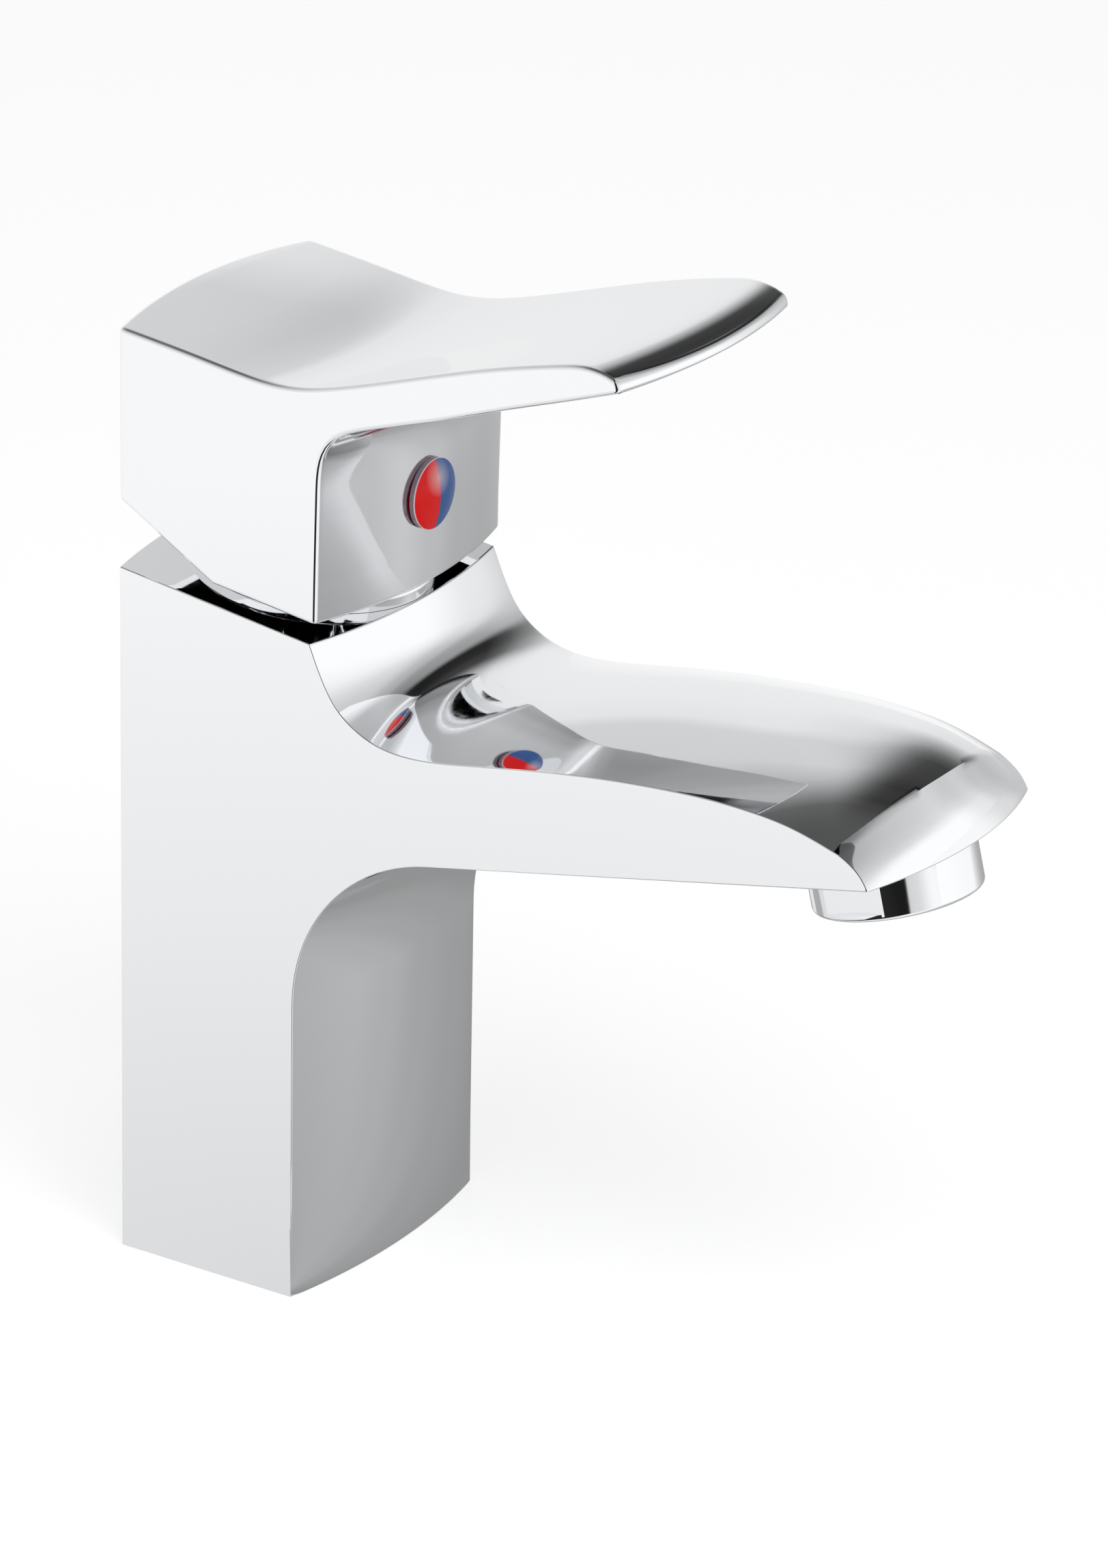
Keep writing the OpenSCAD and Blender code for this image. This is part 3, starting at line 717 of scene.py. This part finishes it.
ring = {"inner": 18.5, "outer": 19.4, "low": 0.05, "top": 2.2, "round": 0.7,
        "innerRound": 0.15}
nut = {"inner": 12.4, "outer": 18.4, "low": -4, "top": 1.6, "holes": 6,
       "holeAt": 15.4, "holeDepth": 0.9, "chamfer": 1.2}
outlet = {"outer": 13.25, "inner": 9.8, "height": 8.3, "bore": 11.06, "lip": 1.0, "round": 0.6,
          "flat": 12.3, "flatLow": 1.1, "flatTop": 5.5, "topRound": 0.3}
lens = {"radius": 5.7, "height": 2.0, "ball": 16, "under": 0.32, "step": 0.25}


def dressRing():
    centre = ring["outer"] - ring["round"]
    outline = [(ring["inner"], ring["low"]), (ring["outer"], ring["low"])]
    outline += arcPoints((centre, ring["top"] - ring["round"]), ring["round"], 0, 90, 6)
    inner = ring["innerRound"]
    outline += arcPoints((ring["inner"] + inner, ring["top"] - inner), inner, 90, 180, 3)
    piece = spinProfile(outline, onAxis, 160)
    smoothFaces(piece, 40)
    finishPiece(piece, "trimRing", chromeRing, "fixed", "trim_ring")


def dressNut():
    outline = [(nut["inner"], nut["low"]), (nut["outer"], nut["low"]), (nut["outer"], nut["top"]),
               (nut["inner"] + nut["chamfer"], nut["top"]),
               (nut["inner"], nut["top"] - nut["chamfer"])]
    piece = spinProfile(outline, onAxis, 128)
    bevelEdges(piece, 0.15, 2)
    for k in range(nut["holes"]):
        angle = 2 * math.pi * k / nut["holes"]
        combine(piece, cylinderAt(1, nut["top"] - nut["holeDepth"], nut["top"] + 1, onAxis,
                                  nut["holeAt"] * math.cos(angle),
                                  nut["holeAt"] * math.sin(angle), 24))
    smoothFaces(piece, 30)
    finishPiece(piece, "retainingNut", brass, "fixed", "retaining_nut")


def dressOutlet():
    outline = [(outlet["inner"], 0)]
    low, top = outlet["round"], outlet["topRound"]
    outline += arcPoints((outlet["outer"] - low, low), low, -90, 0, 5)
    outline += arcPoints((outlet["outer"] - top, outlet["height"] - top), top, 0, 90, 4)
    outline += [(outlet["bore"], outlet["height"]), (outlet["bore"], outlet["lip"]),
                (outlet["inner"], outlet["lip"])]
    piece = spinProfile(outline, onAerator, 160)
    for side in (-1, 1):
        near, far = sorted((side * outlet["flat"], side * (outlet["flat"] + 10)))
        combine(piece, boxAt((near, -10, outlet["flatLow"]), (far, 10, outlet["flatTop"]),
                             onAerator))
    smoothFaces(piece, 30)
    finishPiece(piece, "outletShell", chromeAerator, "fixed", "aerator_shell")


def dressLens():
    start = math.degrees(math.acos(lens["radius"] / lens["ball"]))
    dome = arcPoints((0, lens["height"] - lens["ball"]), lens["ball"], start + 0.9, 90, 16)
    inner = lens["radius"] - lens["step"]
    outline = [(0, lens["under"]), (inner, lens["under"]), (inner, 0.02),
               (lens["radius"], 0.02), (lens["radius"], dome[0][1] - 0.12)] + dome
    piece = spinProfile(outline, onFace, 96)
    smoothFaces(piece, 35)
    finishPiece(piece, "indexLens", clearAcrylic, "lever", "button_lens")


dressRing()
dressNut()
dressOutlet()
dressLens()
print("small pieces done")


studio = {
    # brightness by elevation: the pale sweep behind and the wide lamp in front
    "behind": [(0, 0.87), (14, 0.86), (23, 0.82), (27, 0.68), (38, 0.66), (46, 0.52), (57, 0.28),
               (66, 0.13), (90, 0.09)],
    "infront": [(0, 1.05), (14, 1.04), (20, 0.94), (28, 0.76), (37, 0.66), (49, 0.58), (61, 0.49),
                (67, 0.44), (75, 0.33), (90, 0.2)],
    # the dark gap between them and its pale border
    "gap": [(10, 0), (18, 0.5), (24, 0.8), (30, 0.94), (48, 0.95), (60, 0.84), (85, 0)],
    "border": [(-10, 0.3), (0, 0.36), (15, 0.42), (34, 0.5), (60, 0.5), (80, 0)],
    # where each stands, by azimuth from +Y towards +X
    "lampSpan": [(-170, 0), (92, 0), (112, 1), (172, 1)],
    "gapSpan": [(58, 0), (73, 0.96), (82, 1), (89, 1), (98, 0)],
    "borderSpan": [(62, 0), (76, 0.4), (86, 0.85), (98, 1), (106, 0.95), (116, 0.5), (130, 0)],
    # how much of the lamp is left when chrome sees it in other chrome
    "echo": 0.7,
    # painted light and shade on the floor, seen only by the chrome's reflections: brightness by
    # azimuth from the foot's front corner, from each distance in metres on
    "paintedFloorLightFrom": (-0.028, -0.018, 0),
    "paintedFloorLight": [
        (0.0, [(-100, 0.75), (0, 0.74), (66, 0.72), (82, 0.3), (90, 0.31), (100, 0.35),
               (110, 0.41), (120, 0.43), (150, 0.4), (172, 0.5), (179, 0.75)]),
        (0.15, [(-100, 0.87), (0, 0.87), (66, 0.84), (80, 0.3), (90, 0.3), (100, 0.35),
                (110, 0.38), (120, 0.45), (130, 0.5), (150, 0.47), (172, 0.5), (179, 0.87)]),
        (0.36, [(-100, 1.0), (0, 0.97), (56, 0.88), (70, 0.94), (82, 0.52), (100, 0.43),
                (110, 0.45), (120, 0.53), (130, 0.62), (140, 0.55), (170, 0.6), (179, 0.95)]),
        (0.6, [(-172, 1.0), (-150, 0.72), (-138, 0.6), (-108, 0.9), (-60, 1.0), (56, 0.88),
               (70, 0.97), (84, 0.6), (100, 0.58), (112, 0.75), (128, 1.0), (175, 1.05)]),
    ],
    # the dark place from which the view is taken; on the floor it is painted shade that only the
    # chrome's reflections see
    "viewSpan": [(-143.5, 0), (-141.5, 0.98), (-114, 0.98), (-112, 0)],
    "floorGlow": 0.5, "floorRadius": 3,
    "lamp": {"place": (-0.5, -0.6, 1.1), "target": (0, -0.03, 0.08), "size": 0.7, "power": 4},
}


def rampOver(tree, source, stops, interpolation="EASE"):
    # brightness from a list of (position, value); at most 32 stops fit on a ramp
    ramp = addNode(tree, "ShaderNodeValToRGB")
    ramp.color_ramp.interpolation = interpolation
    elements = ramp.color_ramp.elements
    while len(elements) < len(stops):
        elements.new(0.5)
    while len(elements) > len(stops):
        elements.remove(elements[-1])
    for element, (position, value) in zip(elements, stops):
        element.position = position
        element.color = (value, value, value, 1)
    tree.links.new(source, ramp.inputs["Fac"])
    return ramp.outputs["Color"]


def azimuthOf(tree, split):
    # 0 to 1 for azimuths of -180 to 180 degrees from +Y towards +X
    turn = addNode(tree, "ShaderNodeMath", operation="ARCTAN2")
    tree.links.new(split.outputs["X"], turn.inputs[0])
    tree.links.new(split.outputs["Y"], turn.inputs[1])
    return rangeOf(tree, turn.outputs["Value"], 0, 1, -math.pi, math.pi)


def spanOver(tree, azimuth, key):
    return rampOver(tree, azimuth, [((angle + 180) / 360, value) for angle, value in studio[key]])


def makeWorld():
    world = bpy.data.worlds.new("studio")
    world.use_nodes = True
    bpy.context.scene.world = world
    tree = world.node_tree
    tree.nodes.clear()
    output = addNode(tree, "ShaderNodeOutputWorld")
    place = addNode(tree, "ShaderNodeTexCoord")
    split = addNode(tree, "ShaderNodeSeparateXYZ")
    tree.links.new(place.outputs["Generated"], split.inputs["Vector"])
    height = rangeOf(tree, split.outputs["Z"], 0, 1, -1, 1)
    azimuth = azimuthOf(tree, split)

    def riseOver(key):
        stops = [((math.sin(math.radians(angle)) + 1) / 2, value) for angle, value in studio[key]]
        return rampOver(tree, height, stops, "LINEAR")

    rays = addNode(tree, "ShaderNodeLightPath")
    echo = rangeOf(tree, rays.outputs["Glossy Depth"], 1, studio["echo"], 1, 2)
    lamp = mixOf(tree, "MULTIPLY", riseOver("infront"),
                 rampOver(tree, echo, [(0, 0), (1, 1)], "LINEAR"))
    light = mixOf(tree, "MIX", riseOver("behind"), lamp, spanOver(tree, azimuth, "lampSpan"))
    for key in ("gap", "border"):
        gap = mixOf(tree, "MULTIPLY", riseOver(key), spanOver(tree, azimuth, key + "Span"))
        light = mixOf(tree, "MULTIPLY", light, invertOf(tree, gap))
    light = mixOf(tree, "MULTIPLY", light, invertOf(tree, spanOver(tree, azimuth, "viewSpan")))
    around = addNode(tree, "ShaderNodeBackground")
    tree.links.new(light, around.inputs["Color"])
    white = addNode(tree, "ShaderNodeBackground")
    white.inputs["Color"].default_value = (1, 1, 1, 1)
    mix = addNode(tree, "ShaderNodeMixShader")
    tree.links.new(rays.outputs["Is Camera Ray"], mix.inputs["Fac"])
    tree.links.new(around.outputs["Background"], mix.inputs[1])
    tree.links.new(white.outputs["Background"], mix.inputs[2])
    tree.links.new(mix.outputs["Shader"], output.inputs["Surface"])


def makeFloor():
    deselectAll()
    bpy.ops.mesh.primitive_circle_add(vertices=96, radius=studio["floorRadius"],
                                      fill_type="NGON", location=(0, 0, 0))
    floor = bpy.context.object
    floor.name = "floor"
    material, tree, shader = newMaterial("paleFloor")
    shader.inputs["Base Color"].default_value = (0.9, 0.9, 0.9, 1)
    shader.inputs["Roughness"].default_value = 0.9
    shader.inputs["Specular IOR Level"].default_value = 0.1
    place = addNode(tree, "ShaderNodeTexCoord")
    shift = addNode(tree, "ShaderNodeVectorMath", operation="SUBTRACT")
    shift.inputs[1].default_value = studio["paintedFloorLightFrom"]
    tree.links.new(place.outputs["Object"], shift.inputs[0])
    split = addNode(tree, "ShaderNodeSeparateXYZ")
    tree.links.new(shift.outputs["Vector"], split.inputs["Vector"])
    # painted light and shade: the chrome's reflections see the floor as an emission, brighter or
    # darker by azimuth and distance
    paintedLight = addNode(tree, "ShaderNodeEmission")
    azimuth = azimuthOf(tree, split)
    reach = addNode(tree, "ShaderNodeVectorMath", operation="LENGTH")
    tree.links.new(shift.outputs["Vector"], reach.inputs[0])
    inner, shade = 0, None
    for distance, stops in studio["paintedFloorLight"]:
        band = rampOver(tree, azimuth, [((angle + 180) / 360, value) for angle, value in stops])
        if shade is not None:
            away = rangeOf(tree, reach.outputs["Value"], 0, 1, inner, distance)
            band = mixOf(tree, "MIX", shade, band, away)
        inner, shade = distance, band
    # painted shade: the floor is darkened along the view's azimuth for the reflections
    dark = invertOf(tree, spanOver(tree, azimuth, "viewSpan"))
    tree.links.new(mixOf(tree, "MULTIPLY", shade, dark), paintedLight.inputs["Color"])
    plain = addNode(tree, "ShaderNodeEmission", Strength=studio["floorGlow"])
    plain.inputs["Color"].default_value = (1, 1, 1, 1)
    add = addNode(tree, "ShaderNodeAddShader")
    tree.links.new(shader.outputs["BSDF"], add.inputs[0])
    tree.links.new(plain.outputs["Emission"], add.inputs[1])
    rays = addNode(tree, "ShaderNodeLightPath")
    mix = addNode(tree, "ShaderNodeMixShader")
    tree.links.new(rays.outputs["Is Glossy Ray"], mix.inputs["Fac"])
    tree.links.new(add.outputs["Shader"], mix.inputs[1])
    tree.links.new(paintedLight.outputs["Emission"], mix.inputs[2])
    output = next(n for n in tree.nodes if n.type == "OUTPUT_MATERIAL")
    tree.links.new(mix.outputs["Shader"], output.inputs["Surface"])
    floor.data.materials.append(material)


def makeLamp(name, place, target, size, power):
    data = bpy.data.lights.new(name, "AREA")
    data.energy = power
    data.size = size
    lamp = bpy.data.objects.new(name, data)
    bpy.context.scene.collection.objects.link(lamp)
    lamp.location = place
    lamp.rotation_euler = (Vector(target) - Vector(place)).to_track_quat("-Z", "Y").to_euler()
    lamp.visible_glossy = False


makeWorld()
makeFloor()
makeLamp("keyLamp", **studio["lamp"])
print("studio done")
